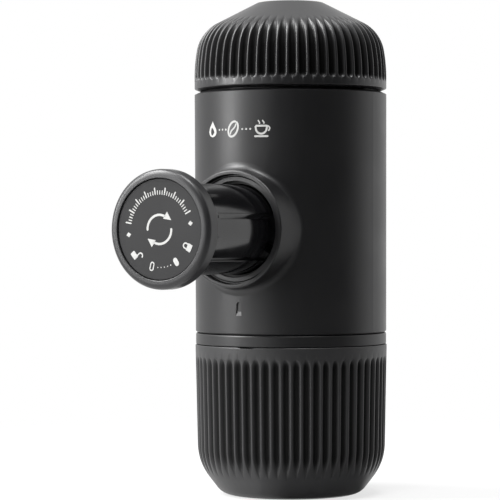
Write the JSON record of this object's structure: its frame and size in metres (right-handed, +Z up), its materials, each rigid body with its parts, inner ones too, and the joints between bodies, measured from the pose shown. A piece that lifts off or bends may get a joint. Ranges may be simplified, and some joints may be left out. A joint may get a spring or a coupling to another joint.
{
  "type": "handheld manual espresso maker",
  "caption": "Hand-pumped espresso maker: fluted water tank above a smooth body with a pop-out side piston, a screw-in portafilter below and a fluted drinking cup as its foot.",
  "frame": {"origin": "centre of the drinking cup's flat base, on the common axis of cup, body and tank", "axes": "+Z up along the common axis; the pump axis lies along Y with the knob at the front, towards -Y; +X is to the right seen from the front"},
  "size_m": [0.061, 0.1033, 0.156],
  "materials": {
    "body_plastic": "satin moulded",
    "tank_plastic": "satin moulded, fluted",
    "cup_plastic": "satin moulded, fluted",
    "gloss_black": "polished",
    "knob_plastic": "satin, printed marks",
    "inner_plastic": "moulded",
    "pale_plastic": "moulded",
    "rubber": "matte",
    "silicone": "matte silicone",
    "steel": "stainless",
    "spring_steel": "drawn wire"
  },
  "bodies": {
    "body": {"main_body": "body_plastic", "collar_ring": "body_plastic", "pump_barrel": "inner_plastic", "pump_cylinder": "inner_plastic", "cylinder_seal": "silicone", "pump_manifold": "pale_plastic", "manifold_screws": "steel", "intake_deck": "inner_plastic", "intake_screen": "steel", "deck_screws": "steel", "tank_gasket": "silicone", "brew_head": "inner_plastic", "brew_gasket": "silicone", "shower_screen": "steel", "shower_screw": "steel"},
    "inlet_valve": {"inlet_ball": "steel", "inlet_spring": "spring_steel"},
    "outlet_valve": {"outlet_ball": "steel", "outlet_spring": "spring_steel"},
    "plunger": {"plunger_rod": "pale_plastic", "piston_seal": "rubber", "thrust_washer": "pale_plastic", "return_spring": "spring_steel", "knob_screw": "steel"},
    "knob": {"piston_sleeve": "gloss_black", "piston_knob": "knob_plastic", "knob_face": "knob_plastic"},
    "tank_ring": {"tank_seal": "rubber"},
    "tank": {"water_tank": "tank_plastic"},
    "portafilter_ring": {"portafilter_seal": "rubber"},
    "portafilter": {"portafilter": "body_plastic", "filter_basket": "steel", "coffee_scoop": "inner_plastic", "spout_head": "inner_plastic", "spout_seal": "silicone"},
    "cup": {"drinking_cup": "cup_plastic"}
  },
  "joints": [
    {"name": "piston_slide", "type": "slide", "parent": "body", "child": "plunger", "axis": [0, 1, 0], "range_m": [0, 0.032], "stiffness_N_per_m": 300, "springref_m": -0.03, "deforming": ["return_spring"]},
    {"name": "knob_turn", "type": "hinge", "parent": "plunger", "child": "knob", "pos_m": [0, -0.07, 0.0841], "axis": [0, -1, 0], "range_deg": [-33, 13]},
    {"name": "inlet_valve_slide", "type": "slide", "parent": "body", "child": "inlet_valve", "axis": [0, 0, -1], "range_m": [0, 0.0012], "stiffness_N_per_m": 50, "springref_m": -0.001, "deforming": ["inlet_spring"]},
    {"name": "outlet_valve_slide", "type": "slide", "parent": "body", "child": "outlet_valve", "axis": [0, 0, -1], "range_m": [0, 0.0012], "stiffness_N_per_m": 50, "springref_m": -0.001, "deforming": ["outlet_spring"]},
    {"name": "tank_lift", "type": "slide", "parent": "body", "child": "tank_ring", "axis": [0, 0, 1], "range_m": [0, 0.035]},
    {"name": "tank_turn", "type": "hinge", "parent": "tank_ring", "child": "tank", "pos_m": [0, 0, 0.13], "axis": [0, 0, 1], "range_deg": [0, 90]},
    {"name": "portafilter_drop", "type": "slide", "parent": "body", "child": "portafilter_ring", "axis": [0, 0, -1], "range_m": [0, 0.025]},
    {"name": "portafilter_turn", "type": "hinge", "parent": "portafilter_ring", "child": "portafilter", "pos_m": [0, 0, 0.05], "axis": [0, 0, -1], "range_deg": [0, 90]},
    {"name": "cup_slide", "type": "slide", "parent": "portafilter", "child": "cup", "axis": [0, 0, -1], "range_m": [0, 0.045]}
  ]
}
